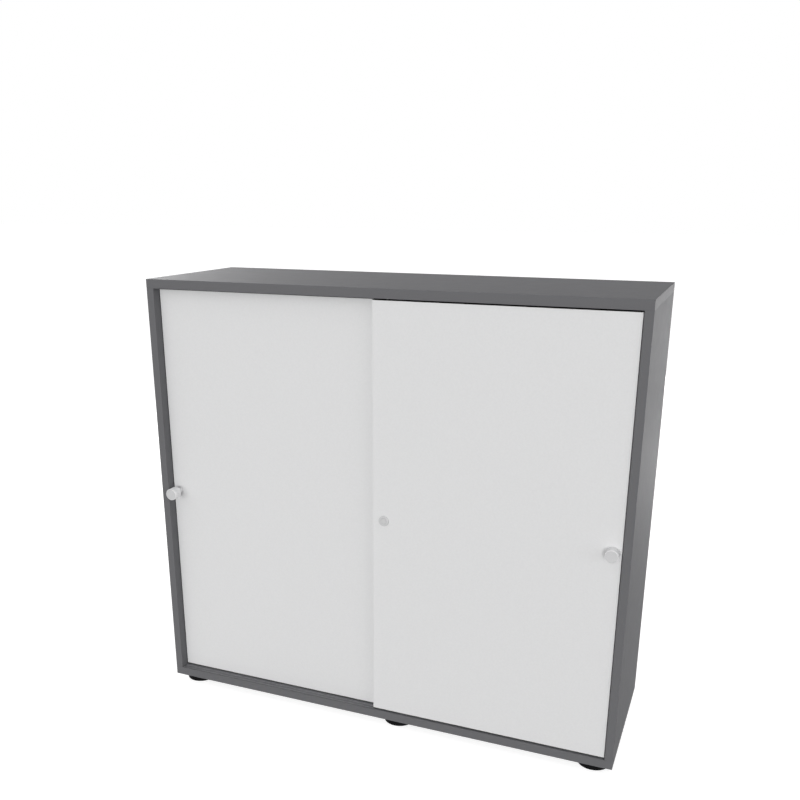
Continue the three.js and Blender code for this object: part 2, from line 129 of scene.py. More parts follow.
# Cover caps inside the cabinet
CAP_RADIUS = 0.0085
CAP_EDGE = ((0, 0), (0, 0.00048), (0.0004, 0.00096), (0.0010, 0.0012), (0.0026, 0.0012), (0.0030, 0.00096))
CAP_MIDDLE = 0.00096  # height of the sunk middle
CAP_INSET = 0.045  # from the shelves' front and back edges
CAP_LEVEL = 0.034  # from the upright board's ends

# Shelf pins and the rows of holes for them
HOLE_PITCH = 0.032
HOLES_EACH_WAY = 4
HOLE_DEPTH = 0.008
PIN_TIP = 0.2  # chamfer, in radii
PIN_COLLAR = (0.0011, 0.0005)  # how far it stands out, and its thickness

# Screws: lengths in radii
SCREW_HEAD = ((0.4, -1.4), (0.4, -0.9), (1, -0.2), (1, 0))
SCREW_CROSS = (0.6, 0.13, 0.5)  # half length, half width and depth of the recess
SCREW_HOLE = 0.9

# Track and rail: depth of a channel, and room beside what runs in it
TRACK_CHANNEL = (0.002, 0.0007)
RAIL_CHANNEL = (0.009, 0.0006)
TRACK_EDGE = 0.0004
TRACK_SCREW = 0.0028
TRACK_SCREW_PLACES = (-0.52, -0.26, 0, 0.26, 0.52)

# Bars with round ends: the guides and the cam
ROUND_END = 0.998  # of half the width, so that the two curves stay apart
ROUND_STEPS = 8
ROUND_EDGE_ANGLE = 50  # in place of EDGE_ANGLE
GUIDE_EDGE = 0.0006

# Roller housings, with an axle and two screws in the back
HOUSING_CORNER = 0.003
HOUSING_EDGE = 0.0003
WHEEL_ROOM = (0.001, 0.0005, 0.001)  # round the wheel, in its slot
WHEEL_SLOT_REACH = 0.02  # how far the slot runs out below the wheel
WHEEL_SLOT_CORNER = 0.002
AXLE = ((0.0021, 0), (0.0025, 0.0004), (0.0025, 0.0088), (0.0021, 0.0092))
AXLE_REACH = 0.0014  # past the wheel's front
HOUSING_SCREW = 0.002
HOUSING_SCREW_SIDE = 0.0128  # from the axle
HOUSING_SCREW_LEVEL = 0.0032  # below the top
HOUSING_SCREW_SINK = 0.0001  # face of the screw, below the housing's back
HOUSING_SCREW_ROOM = (0.0001, 0.0012)  # round the screw, and depth of its hole

# Wheels
WHEEL_BORE = 0.0028
WHEEL_HUB = 0.0052
WHEEL_RIM = 0.0092
WHEEL_WEB = 0.0013  # half the web's thickness
WHEEL_CHAMFER = 0.0003
WHEEL_SLOPES = (0.0004, 0.0005)  # of the hub and of the rim
WHEEL_TREAD = ((0.0008, 0), (0.0002, 0.0003), (0, 0.0009))
WEB_HOLES = 5
WEB_HOLE_RADIUS = 0.0013

# Knobs
KNOB_BODY = 0.0247
KNOB_RIM = 0.0015
KNOB_REAR = ((0.0008, 0), (0.0003, 0.0002), (0, 0.0006))
KNOB_FRONT = ((0, 0.0014), (0.0002, 0.0008), (0.0006, 0.0003), (0.0012, 0))
KNOB_LIP = 0.0002
KNOB_RECESS = 0.0012
KNOB_FACE = ((0.0001, 0), (0.0001, 0.0007), (0.0004, 0.0010), (0.0012, 0.0010))
KNOB_DISH = (0.6, 0.0009, 0.00085)  # share of the face's radius, height there and in the middle
SPACER_CHAMFER = 0.0004
STUD_RADIUS = 0.002
STUD_PITCH = 0.0007
THREAD_DEPTH = 0.6  # in pitches
THREAD_CREST = (0.45, 0.55)  # where it starts and ends, in pitches

# Lock and striker
FLANGE_EDGE = ((0.0009, 0), (0.0003, 0.0003), (0, 0.0009))
FLANGE_THICKNESS = 0.002
LOCK_TUBE = 0.0095
LOCK_DEPTH = 0.0183  # flange face to the back of the tube
LOCK_MOUTH = 0.0002
TUBE_CHAMFER = 0.0004
COLLAR = 0.003  # thickness of the tube's back wall
PLUG = 0.007
PLUG_EDGE = ((0.0005, 0), (0.0001, 0.0002), (0, 0.0005))
KEYWAY = (0.0006, 0.0033)  # half its width and half its height
KEYWAY_DEPTH = 0.003
SHUTTER = (0.0004, 0.0008)  # its front and its back, from the plug's face
SHUTTER_LAP = 0.0001  # into the plug on every side
NECK = 0.0035
CAM_THICKNESS = 0.002
CAM_HALF = 0.0045
CAM_EDGE = 0.0002
STRIKER_TIP = ((0.55, 0), (0.85, 0.0002), (1, 0.0006))  # share of the radius, and height
STRIKER_TAIL = (0.8, 0.0004)  # share of the radius, and length of the chamfer

# Feet
PAD_HEIGHT = 0.018
PAD_UNDERSIDE = (
    (0.006, 0.0015), (0.0064, 0.0003), (0.0270, 0.0003),
    (0.0274, 0.0010), (0.0300, 0.0010), (0.0304, 0.0003),
)
PAD_LOWER_EDGE = ((0.0012, 0.0003), (0.0004, 0.0007), (0, 0.0015))
PAD_UPPER_EDGE = (
    (0, 0.0042), (0.0002, 0.0033), (0.0007, 0.0025), (0.0015, 0.0018),
    (0.0026, 0.0012), (0.0042, 0.0007), (0.0070, 0.0003), (0.0120, 0.0001),
)
PAD_TOP = 0.009
SOLE = ((0.0085, 0.0006), (0.0085, 0), (0.0250, 0), (0.0252, 0.0006))
STEM_RADIUS = 0.005
STEM_PITCH = 0.0015
SOCKET_BORE = 0.0054
SOCKET_MOUTH = 0.0003
SOCKET_FLANGE = 0.0012
FLANGE_CHAMFER = 0.0004
SOCKET_SLEEVE = 0.008
SLEEVE_CHAMFER = 0.0008

# Facets round a circle
FINE = 64
SMALL = 32
TINY = 24

# Axis across each side of a board, and which way the side looks along it
SIDES = {
    "left": (0, -1),
    "right": (0, 1),
    "front": (1, -1),
    "back": (1, 1),
    "lower": (2, -1),
    "upper": (2, 1),
}


# Materials

class Finish:
    """A procedural material whose patterns follow the piece itself."""

    def __init__(self, name, **sockets):
        self.material = bpy.data.materials.new(name)
        self.material.use_nodes = True
        self.tree = self.material.node_tree
        self.shader = self.tree.nodes["Principled BSDF"]
        self.place = self.node("TexCoord").outputs["Object"]
        self.relief = None
        for socket, value in sockets.items():
            self.shader.inputs[socket.replace("_", " ")].default_value = value

    def node(self, kind, **settings):
        """A new shader node with its settings."""
        made = self.tree.nodes.new("ShaderNode" + kind)
        for name, value in settings.items():
            setattr(made, name, value)
        return made

    def link(self, start, end):
        """Joins an output to an input."""
        self.tree.links.new(start, end)

    def about(self, centre):
        """The piece's own coordinates, counted from a centre."""
        mapping = self.node("Mapping", vector_type="POINT")
        mapping.inputs["Location"].default_value = [-c for c in centre]
        self.link(self.place, mapping.inputs["Vector"])
        return mapping.outputs["Vector"]

    def cloud(self, size, detail):
        """A cloudy pattern with blotches about size metres across."""
        made = self.node("TexNoise")
        made.inputs["Scale"].default_value = 1 / size
        made.inputs["Detail"].default_value = detail
        self.link(self.place, made.inputs["Vector"])
        return made.outputs["Fac"]

    def rings(self, spacing, centre):
        """Turning marks round the line through the centre that runs from front to back."""
        made = self.node("TexWave", wave_type="RINGS", rings_direction="Y")
        made.inputs["Scale"].default_value = RING_SCALE / spacing
        made.inputs["Distortion"].default_value = 0.6
        made.inputs["Detail"].default_value = 2
        self.link(self.about(centre), made.inputs["Vector"])
        return made.outputs["Fac"]

    def colour(self, pattern, dark, light):
        """Colours the surface by a pattern, from dark to light."""
        ramp = self.node("ValToRGB")
        low, high = ramp.color_ramp.elements
        low.position, high.position = PATTERN_RANGE
        low.color, high.color = (*dark, 1), (*light, 1)
        self.link(pattern, ramp.inputs["Fac"])
        self.link(ramp.outputs["Color"], self.shader.inputs["Base Color"])

    def roughness(self, pattern, low, high):
        """Varies the roughness by a pattern."""
        spread = self.node("MapRange")
        spread.inputs["From Min"].default_value, spread.inputs["From Max"].default_value = PATTERN_RANGE
        spread.inputs["To Min"].default_value = low
        spread.inputs["To Max"].default_value = high
        self.link(pattern, spread.inputs["Value"])
        self.link(spread.outputs["Result"], self.shader.inputs["Roughness"])

    def bump(self, pattern, depth, strength):
        """Raises the surface by a pattern that is depth metres deep, over any earlier relief."""
        made = self.node("Bump")
        made.inputs["Distance"].default_value = depth
        made.inputs["Strength"].default_value = strength
        self.link(pattern, made.inputs["Height"])
        if self.relief:
            self.link(self.relief, made.inputs["Normal"])
        self.relief = made.outputs["Normal"]
        self.link(self.relief, self.shader.inputs["Normal"])


def tint(colour, amount):
    """A colour made darker or lighter."""
    return [c * amount for c in colour]


def melamine(name, colour, rough, sheen):
    """Decor board: an even colour with a fine pearl texture and a faint waviness."""
    made = Finish(name, Specular_IOR_Level=sheen)
    made.colour(made.cloud(size=0.004, detail=4), dark=tint(colour, 0.985), light=tint(colour, 1.015))
    made.roughness(made.cloud(size=0.03, detail=2), low=rough - 0.03, high=rough + 0.03)
    made.bump(made.cloud(size=0.15, detail=1), depth=0.0005, strength=0.12)
    made.bump(made.cloud(size=0.0009, detail=2), depth=0.00004, strength=0.45)
    return made.material


def edging(name, colour, rough, sheen):
    """Plastic edge band, smoother than the board's face."""
    made = Finish(name, Specular_IOR_Level=sheen)
    made.colour(made.cloud(size=0.003, detail=3), dark=tint(colour, 0.985), light=tint(colour, 1.015))
    made.roughness(made.cloud(size=0.01, detail=2), low=rough - 0.03, high=rough + 0.03)
    made.bump(made.cloud(size=0.0006, detail=2), depth=0.00003, strength=0.35)
    return made.material


def chipboard(name):
    """The board's core, seen in drilled holes and grooves."""
    made = Finish(name, Roughness=0.9, Specular_IOR_Level=0.2)
    made.colour(made.cloud(size=0.0025, detail=5), dark=DARK_CHIPS, light=LIGHT_CHIPS)
    made.bump(made.cloud(size=0.0015, detail=4), depth=0.0003, strength=0.8)
    return made.material


def turned_metal(name, colour, rough, centre):
    """Silver lacquer on turned metal, with fine rings round its own axis."""
    made = Finish(name, Metallic=0.3, Specular_IOR_Level=0.5)
    made.colour(made.cloud(size=0.003, detail=4), dark=tint(colour, 0.97), light=tint(colour, 1.03))
    made.roughness(made.cloud(size=0.002, detail=3), low=rough - 0.04, high=rough + 0.04)
    made.bump(made.rings(spacing=0.0006, centre=centre), depth=0.00001, strength=0.4)
    return made.material


def plated_steel(name, colour, rough):
    """Zinc plated steel with the faint mottling of the plating."""
    made = Finish(name, Metallic=1.0)
    made.colour(made.cloud(size=0.003, detail=4), dark=tint(colour, 0.92), light=tint(colour, 1.06))
    made.roughness(made.cloud(size=0.0015, detail=3), low=rough - 0.06, high=rough + 0.08)
    made.bump(made.cloud(size=0.0006, detail=3), depth=0.00003, strength=0.4)
    return made.material


def moulded(name, colour, rough, grain, sheen):
    """Injection moulded plastic with a fine grain."""
    made = Finish(name, Specular_IOR_Level=sheen)
    made.colour(made.cloud(size=0.008, detail=3), dark=tint(colour, 0.93), light=tint(colour, 1.07))
    made.roughness(made.cloud(size=0.005, detail=3), low=rough - 0.05, high=rough + 0.06)
    made.bump(made.cloud(size=grain, detail=3), depth=0.00005, strength=0.6)
    return made.material


board_grey = melamine("graphite_melamine", GREY, rough=0.72, sheen=0.08)
edge_grey = edging("graphite_edging", GREY, rough=0.68, sheen=0.1)
board_pale = melamine("light_grey_melamine", PALE, rough=0.6, sheen=0.25)
edge_pale = edging("light_grey_edging", tint(PALE, 1.01), rough=0.55, sheen=0.25)
core = chipboard("chipboard_core")
steel = plated_steel("zinc_plated_steel", ZINC, rough=0.32)
black = moulded("black_plastic", BLACK, rough=0.6, grain=0.0008, sheen=0.05)
# The black of the glide strips is their own colour and also partly painted shade, darkening the gaps above
# and below the doors.
glide_black = moulded("black_glide_strip", BLACK, rough=0.6, grain=0.0006, sheen=0.05)
rubber = moulded("black_rubber", RUBBER, rough=0.8, grain=0.0012, sheen=0.1)
off_white = moulded("roller_plastic", OFF_WHITE, rough=0.42, grain=0.0008, sheen=0.4)
# The track's grey is the board's grey made lighter: painted light on its upward face in front of the doors.
# The cover caps share this grey.
track_grey_with_painted_light = moulded("track_plastic", tint(GREY, 1.45), rough=0.5, grain=0.0015, sheen=0.1)


# Modelling

def pick(piece):
    """Selects one object alone and makes it the active one."""
    bpy.ops.object.select_all(action="DESELECT")
    piece.select_set(True)
    bpy.context.view_layer.objects.active = piece


def settle(piece):
    """Puts the object's place, turn and size into its mesh."""
    pick(piece)
    bpy.ops.object.transform_apply(location=True, rotation=True, scale=True)
    return piece


def started(name, material):
    """The primitive just added, with its place in its mesh."""
    piece = settle(bpy.context.object)
    piece.name = name
    piece.data.name = name
    if material:
        piece.data.materials.append(material)
    return piece


def block(low, high, material=None):
    """A block between two corners."""
    bpy.ops.object.select_all(action="DESELECT")
    low, high = Vector(low), Vector(high)
    bpy.ops.mesh.primitive_cube_add(size=1, location=(low + high) / 2, scale=high - low)
    return started("block", material)


def rod(radius, start, end):
    """A round rod between two points, to cut with."""
    bpy.ops.object.select_all(action="DESELECT")
    start, end = Vector(start), Vector(end)
    along = end - start
    bpy.ops.mesh.primitive_cylinder_add(
        vertices=TINY,
        radius=radius,
        depth=along.length,
        location=(start + end) / 2,
        rotation=along.to_track_quat("Z", "Y").to_euler(),
    )
    return started("rod", None)


def copied(piece, shift=(0, 0, 0)):
    """A copy with its own mesh, moved by a shift."""
    pick(piece)
    bpy.ops.object.duplicate(linked=False)
    copy = bpy.context.object
    copy.location = shift
    return settle(copy)


def joined(pieces):
    """Several pieces as one object."""
    pick(pieces[0])
    for piece in pieces[1:]:
        piece.select_set(True)
    if len(pieces) > 1:
        bpy.ops.object.join()
    return bpy.context.object


def repeated(piece, places):
    """Copies of a piece at several places, as one object. The first one goes."""
    row = joined([copied(piece, place) for place in places])
    bpy.data.objects.remove(piece)
    return row


def finish_with(piece, kind, **settings):
    """Adds a modifier and applies it."""
    pick(piece)
    modifier = piece.modifiers.new(kind.lower(), kind)
    for name, value in settings.items():
        setattr(modifier, name, value)
    bpy.ops.object.modifier_apply(modifier=modifier.name)
    return piece


def cut(piece, cutters, material):
    """Takes the cutters out of the piece. The new faces get the material."""
    tool = joined(cutters)
    tool.data.materials.clear()
    tool.data.materials.append(material)
    finish_with(
        piece,
        "BOOLEAN",
        object=tool,
        operation="DIFFERENCE",
        solver="EXACT",
        material_mode="TRANSFER",
    )
    bpy.data.objects.remove(tool)
    return piece


def eased(piece, radius, angle=EDGE_ANGLE):
    """Rounds every edge sharper than the angle."""
    return finish_with(
        piece,
        "BEVEL",
        width=radius,
        segments=EDGE_STEPS,
        limit_method="ANGLE",
        angle_limit=math.radians(angle),
        use_clamp_overlap=True,
    )


def choose_edges(piece, test):
    """Enters edit mode with only the edges selected whose two ends pass the test."""
    pick(piece)
    bpy.ops.object.mode_set(mode="EDIT")
    bpy.ops.mesh.select_mode(type="EDGE")
    bpy.ops.mesh.select_all(action="DESELECT")
    mesh = bmesh.from_edit_mesh(piece.data)
    for edge in mesh.edges:
        edge.select_set(test(*(corner.co for corner in edge.verts)))
    bmesh.update_edit_mesh(piece.data)


def rounded(piece, axis, radius, steps):
    """Rounds the four edges that run along one axis."""
    choose_edges(piece, lambda a, b: abs(a[axis] - b[axis]) > ALONG * (a - b).length)
    bpy.ops.mesh.bevel(offset=radius, offset_type="OFFSET", segments=steps, affect="EDGES")
    bpy.ops.object.mode_set(mode="OBJECT")
    return piece


def smooth(piece):
    """Shades round faces smooth and leaves corners crisp."""
    pick(piece)
    bpy.ops.object.shade_smooth_by_angle(angle=math.radians(SMOOTH_ANGLE))
    return piece


def shaped(radius, level, way, edge):
    """Outline points from a table of an edge, at an end that looks down (1) or up (-1)."""
    return [(radius - inward, level + way * away) for inward, away in edge]


def turned(profile, material, facets=FINE, ring=False):
    """A shape turned about Z through [radius, height] points. A ring closes on its first point."""
    (radius, height), *rest = profile
    bpy.ops.object.select_all(action="DESELECT")
    bpy.ops.mesh.primitive_circle_add(
        vertices=facets, radius=radius, location=(0, 0, height), fill_type="NOTHING" if ring else "NGON"
    )
    piece = started("turned", material)
    bpy.ops.object.mode_set(mode="EDIT")
    bpy.ops.mesh.select_all(action="SELECT")
    for next_radius, next_height in rest + [profile[0]] * ring:
        rise = (0, 0, next_height - height)
        if ring:
            bpy.ops.mesh.extrude_edges_move(TRANSFORM_OT_translate={"value": rise})
        else:
            bpy.ops.mesh.extrude_region_move(TRANSFORM_OT_translate={"value": rise})
        ratio = next_radius / radius
        bpy.ops.transform.resize(value=(ratio, ratio, 1), center_override=(0, 0, next_height))
        radius, height = next_radius, next_height
    bpy.ops.mesh.select_all(action="SELECT")
    if ring:
        bpy.ops.mesh.remove_doubles(threshold=MERGE)
    bpy.ops.mesh.normals_make_consistent(inside=False)
    bpy.ops.object.mode_set(mode="OBJECT")
    return smooth(piece)


def laid(piece, direction, place):
    """Turns a shape from the Z axis to a direction and moves its origin to a place."""
    piece.rotation_euler = Vector(direction).to_track_quat("Z", "Y").to_euler()
    piece.location = place
    return settle(piece)


def threaded(radius, length, pitch, facets=TINY):
    """A threaded steel rod that stands on Z = 0, thinned to the thread's root at both ends."""
    root = radius - THREAD_DEPTH * pitch
    crest_start, crest_end = THREAD_CREST
    height = pitch / 2
    profile = [(root, 0), (root, height)]
    while height + pitch < length - pitch / 2:
        profile += [(radius, height + crest_start * pitch), (radius, height + crest_end * pitch)]
        profile.append((root, height + pitch))
        height += pitch
    profile.append((root, length))
    return turned(profile, steel, facets)


def dress(piece, name, body, slot, *nodes):
    """Names a finished piece, lets it ride on a body and hides the nodes it stands for."""
    piece.name = name
    piece.data.name = name
    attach(piece, body)
    if nodes:
        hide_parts(*nodes)
    return piece


def middle_of(node):
    """The middle of the box round a node."""
    low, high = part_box(node)
    return (low + high) / 2


def nodes_with(*words):
    """The names of the nodes that hold every one of the words."""
    return [name for name in frame["nodes"] if all(word in name for word in words)]


# Boards

def touches(piece, other):
    """Whether the boxes round two pieces meet."""
    a, b = ([Vector(corner) for corner in p.bound_box] for p in (piece, other))
    return all(
        min(p[i] for p in a) < max(p[i] for p in b) and min(p[i] for p in b) < max(p[i] for p in a)
        for i in range(3)
    )


def banded(low, high, bands, face, cutters, lined):
    """A board with bands glued on its sides, both cut by the cutters. Lined cuts show the board's face."""
    low, high = Vector(low), Vector(high)
    strips = []
    for side, edge, thickness in bands:
        axis, sign = SIDES[side]
        strip = [low.copy(), high.copy()]
        if sign > 0:
            high[axis] -= thickness
            strip[0][axis] = high[axis]
        else:
            low[axis] += thickness
            strip[1][axis] = low[axis]
        strips.append(block(*strip, edge))
    middle = block(low, high, face)
    for strip in strips:
        near = [copied(cutter) for cutter in [*cutters, *lined] if touches(strip, cutter)]
        if near:
            cut(strip, near, strip.data.materials[0])
    if lined:
        cut(middle, lined, face)
    if cutters:
        cut(middle, cutters, core)
    return eased(middle, ARRIS), [eased(strip, BAND_RADIUS) for strip in strips]


def board(node, body, slot, bands, cutters=(), lined=(), grow=(0, 0, 0), glides=(), glide=0):
    """One board of the cabinet in place of its node, with edge bands and glide strips on the named sides."""
    face, edge = (board_pale, edge_pale) if slot == "door" else (board_grey, edge_grey)
    low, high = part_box(node)
    grow = Vector(grow)
    sides = [(side, glide_black, glide) for side in glides] + [(side, edge, BAND) for side in bands]
    middle, strips = banded(low - grow, high + grow, sides, face, list(cutters), list(lined))
    dress(middle, node + "_panel" if "panel" not in node else node + "_board", body, slot, node)
    if glides:
        dress(joined(strips[:len(glides)]), node + "_glide_strips", body, "black")
    if bands:
        dress(joined(strips[len(glides):]), node + "_edging", body, slot)


def back_groove():
    """The groove for the back panel's edges, one cutter for every board round it."""
    low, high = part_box("back_panel")
    reach = Vector((GROOVE_ROOM, FIT, GROOVE_ROOM))
    return block(low - reach, high + reach)


def bed(node, opens):
    """The recess that the rail or the track lies in. It opens up (1) or down (-1)."""
    low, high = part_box(node)
    low, high = low - Vector((FIT, FIT, FIT)), high + Vector((FIT, FIT, FIT))
    if opens > 0:
        high.z += OVERRUN
    else:
        low.z -= OVERRUN
    return block(low, high)


def pin_holes(node):
    """Rows of blind holes for the shelf pins that enter this board."""
    low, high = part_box(node)
    holes = []
    for pin in nodes_with("_pin_"):
        start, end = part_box(pin)
        if start.x > high.x or end.x < low.x:
            continue
        if start.x < low.x:
            x0, x1 = low.x - OVERRUN, end.x + FIT
        else:
            x0, x1 = start.x - FIT, high.x + OVERRUN
        radius = (end.z - start.z) / 2 + FIT
        holes.append((radius, Vector((x0, (start.y + end.y) / 2, (start.z + end.z) / 2)), x1 - x0))
    radius, start, length = holes[0]
    first = rod(radius, start, start + Vector((length, 0, 0)))
    steps = [step for step in range(-HOLES_EACH_WAY, HOLES_EACH_WAY + 1) if step]
    row = joined([first] + [copied(first, (0, 0, step * HOLE_PITCH)) for step in steps])
    return [row] + [copied(row, place - start) for radius, place, length in holes[1:]]


def carcass():
    """The boards of the cabinet, its middle wall, its back and its shelves."""
    board(
        "top_panel", "carcass", "board", ("front", "back", "left", "right"),
        cutters=[back_groove()], lined=[bed("upper_rail", -1)],
    )
    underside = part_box("bottom_panel")[0].z
    sockets = []
    for node in nodes_with("foot_socket"):
        place, top = middle_of(node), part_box(node)[1].z
        start = (place.x, place.y, underside - OVERRUN)
        sockets.append(rod(SOCKET_SLEEVE + FIT, start, (place.x, place.y, top + OVERRUN)))
    board(
        "bottom_panel", "carcass", "board", ("front", "back", "left", "right"),
        cutters=[back_groove(), *sockets], lined=[bed("lower_track", 1)],
    )
    upright = (0, 0, BUTT)
    for node in ("left_side_panel", "right_side_panel"):
        cutters = [back_groove(), *pin_holes(node)]
        board(node, "carcass", "board", ("front", "back"), cutters, grow=upright)
    holes = pin_holes("centre_partition")
    board("centre_partition", "carcass", "board", ("front",), holes, grow=upright)
    board("back_panel", "carcass", "board", ())
    for node in nodes_with("shelf_"):
        if "_pin_" not in node:
            board(node, "carcass", "board", ("front",))


def cover_caps(node, inward):
    """Caps over the fittings that join an upright board to the boards above and below it."""
    low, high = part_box(node)
    shelf_low, shelf_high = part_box("shelf_left_lower")
    face = high.x if inward > 0 else low.x
    rows = (shelf_low.y + CAP_INSET, shelf_high.y - CAP_INSET)
    levels = (low.z + CAP_LEVEL, high.z - CAP_LEVEL)
    profile = shaped(CAP_RADIUS, 0, 1, CAP_EDGE) + [(AXIS, CAP_MIDDLE)]
    first = laid(turned(profile, track_grey_with_painted_light, SMALL), (inward, 0, 0), (face, rows[0], levels[0]))
    caps = repeated(first, [(0, y - rows[0], z - levels[0]) for y in rows for z in levels])
    dress(caps, f"{node}_cover_caps_{'right' if inward > 0 else 'left'}", "carcass", "track")


def shelf_pins():
    """Steel pins with a collar that stops them at the board's face."""
    out, thickness = PIN_COLLAR
    for node in nodes_with("_pin_"):
        low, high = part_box(node)
        radius, length = (high.z - low.z) / 2, high.x - low.x
        into = 1 if ("_left_pin_" in node or "pin_left" in node) else -1
        inside, tip = HOLE_DEPTH - FIT, radius * PIN_TIP
        profile = [
            (radius - tip, 0),
            (radius, tip),
            (radius, inside),
            (radius + out, inside),
            (radius + out, inside + thickness),
            (radius, inside + thickness),
            (radius, length - tip),
            (radius - tip, length),
        ]
        start = Vector((low.x if into > 0 else high.x, (low.y + high.y) / 2, (low.z + high.z) / 2))
        pin = laid(turned(profile, steel, TINY), (into, 0, 0), start)
        dress(pin, node + "_turned", "carcass", "steel", node)


# Track, rail and their screws

def screw(radius, direction, place):
    """A countersunk screw's head with a cross recess, its face at the place."""
    head = turned([(radius * r, radius * z) for r, z in SCREW_HEAD], steel, TINY)
    long, wide, deep = (radius * share for share in SCREW_CROSS)
    for x, y in ((long, wide), (wide, long)):
        cut(head, [block((-x, -y, -deep), (x, y, deep))], steel)
    return laid(head, direction, place)


def runner(node, opens):
    """The track, screwed down in its rear channel, or the rail, screwed up between its two."""
    low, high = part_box(node)
    strip = block(low, high, track_grey_with_painted_light)
    face = high.z if opens > 0 else low.z
    rider, (depth, room) = ("wheel", TRACK_CHANNEL) if opens > 0 else ("guide", RAIL_CHANNEL)
    ends = sorted((face - opens * depth, face + opens * OVERRUN))
    channels = []
    for side in ("left", "right"):
        a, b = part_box(nodes_with(f"{side}_door_{rider}")[0])
        half, middle = (b.y - a.y) / 2 + room, (a.y + b.y) / 2
        channels.append(block(
            (low.x - OVERRUN, middle - half, ends[0]),
            (high.x + OVERRUN, middle + half, ends[1]),
        ))
    row = (low.y + high.y) / 2
    if opens > 0:
        row, face = middle_of("left_door_wheel_left").y, face - depth
    pockets, screws = [], []
    for x in TRACK_SCREW_PLACES:
        start = (x, row, face + opens * OVERRUN)
        end = (x, row, face - opens * SCREW_HOLE * TRACK_SCREW)
        pockets.append(rod(TRACK_SCREW + FIT / 2, start, end))
        screws.append((x, row, face - opens * FIT / 2))
    cut(strip, channels + pockets, track_grey_with_painted_light)
    eased(strip, TRACK_EDGE)
    dress(strip, node + "_strip", "carcass", "track", node)
    heads = repeated(screw(TRACK_SCREW, (0, 0, opens), (0, 0, 0)), screws)
    dress(heads, node + "_screws", "carcass", "steel")


# Doors

def round_bar(low, high, material=None):
    """A bar along X with round ends."""
    low, high = Vector(low), Vector(high)
    radius = (high.y - low.y) / 2 * ROUND_END
    return rounded(block(low, high, material), axis=2, radius=radius, steps=ROUND_STEPS)


def pocket(node):
    """The pocket in the door for a roller housing, open to the back and below."""
    low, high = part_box(node)
    return block(low - Vector((FIT, FIT, OVERRUN)), high + Vector((FIT, OVERRUN, FIT)))


def slot_for_guide(node):
    """The slot in the door's upper edge for a guide."""
    low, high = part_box(node)
    return round_bar(low - Vector((FIT, FIT, FIT)), high + Vector((FIT, FIT, OVERRUN)))


def through(node, radius, door):
    """A round hole right through a door at a node's axis."""
    low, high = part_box(door)
    place = middle_of(node)
    start = (place.x, low.y - OVERRUN, place.z)
    return rod(radius + FIT, start, (place.x, high.y + OVERRUN, place.z))


def door(side):
    """A door with all that is cut into it, and with its housings, wheels and guides."""
    name = side + "_door"
    cutters = [pocket(node) for node in nodes_with(name, "housing")]
    cutters += [slot_for_guide(node) for node in nodes_with(name, "guide")]
    cutters.append(through(side + "_knob", STUD_RADIUS, name))
    if side == "right":
        cutters.append(through("lock_housing", LOCK_TUBE, name))
    else:
        place, (front, back) = middle_of("striker_stud"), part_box("striker_stud")
        start = (place.x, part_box(name)[0].y - OVERRUN, place.z)
        cutters.append(rod((back.x - front.x) / 2 + FIT, start, (place.x, back.y + FIT, place.z)))
    board(name, name, "door", ("left", "right"), cutters, glides=("upper", "lower"), glide=GLIDE[side])
    for node in nodes_with(name, "housing"):
        housing(node, name)
    for node in nodes_with(name, "wheel"):
        if "housing" not in node:
            wheel(node)
    for node in nodes_with(name, "guide"):
        bar = eased(round_bar(*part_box(node), black), GUIDE_EDGE, ROUND_EDGE_ANGLE)
        dress(smooth(bar), node + "_bar", name, "black", node)


def housing(node, door_name):
    """A roller housing with its wheel slot, axle and two screws in its back."""
    low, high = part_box(node)
    wheel_low, wheel_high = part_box(node.replace("roller_housing", "wheel"))
    axle = (wheel_low + wheel_high) / 2
    body = rounded(block(low, high, black), axis=1, radius=HOUSING_CORNER, steps=5)
    opening = block(
        wheel_low - Vector((*WHEEL_ROOM[:2], WHEEL_SLOT_REACH)),
        wheel_high + Vector(WHEEL_ROOM),
    )
    rounded(opening, axis=1, radius=WHEEL_SLOT_CORNER, steps=4)
    back, level = high.y - HOUSING_SCREW_SINK, high.z - HOUSING_SCREW_LEVEL
    places = [(axle.x + way * HOUSING_SCREW_SIDE, back, level) for way in (-1, 1)]
    room, depth = HOUSING_SCREW_ROOM
    sinks = [rod(HOUSING_SCREW + room, (x, y - depth, z), (x, y + OVERRUN, z)) for x, y, z in places]
    cut(body, [opening, *sinks], black)
    eased(body, HOUSING_EDGE)
    pin = laid(turned(AXLE, steel, TINY), (0, 1, 0), (axle.x, wheel_low.y - AXLE_REACH, axle.z))
    dress(smooth(body), node + "_body", door_name, "black", node)
    screws = [screw(HOUSING_SCREW, (0, 1, 0), place) for place in places]
    dress(joined([pin, *screws]), node + "_fixings", door_name, "steel")


def wheel(node):
    """A roller with a hub, a sunk web with round openings, and a rounded tread."""
    low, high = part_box(node)
    half, radius = (high.y - low.y) / 2, (high.z - low.z) / 2
    hub_slope, rim_slope = WHEEL_SLOPES
    side = [
        (WHEEL_BORE, half - WHEEL_CHAMFER),
        (WHEEL_BORE + WHEEL_CHAMFER, half),
        (WHEEL_HUB - hub_slope, half),
        (WHEEL_HUB, WHEEL_WEB),
        (WHEEL_RIM, WHEEL_WEB),
        (WHEEL_RIM + rim_slope, half),
        *shaped(radius, half, -1, WHEEL_TREAD),
    ]
    profile = [(r, -h) for r, h in side] + [(r, h) for r, h in reversed(side)]
    body = turned(profile, off_white, FINE, ring=True)
    holes = []
    for step in range(WEB_HOLES):
        turn = 2 * math.pi * step / WEB_HOLES
        place = Vector((math.cos(turn), math.sin(turn), 0)) * (WHEEL_HUB + WHEEL_RIM) / 2
        reach = Vector((0, 0, half))
        holes.append(rod(WEB_HOLE_RADIUS, place - reach, place + reach))
    cut(body, holes, off_white)
    laid(body, (0, -1, 0), (low + high) / 2)
    dress(smooth(body), node + "_turned", node, "roller", node)


# Knobs and lock

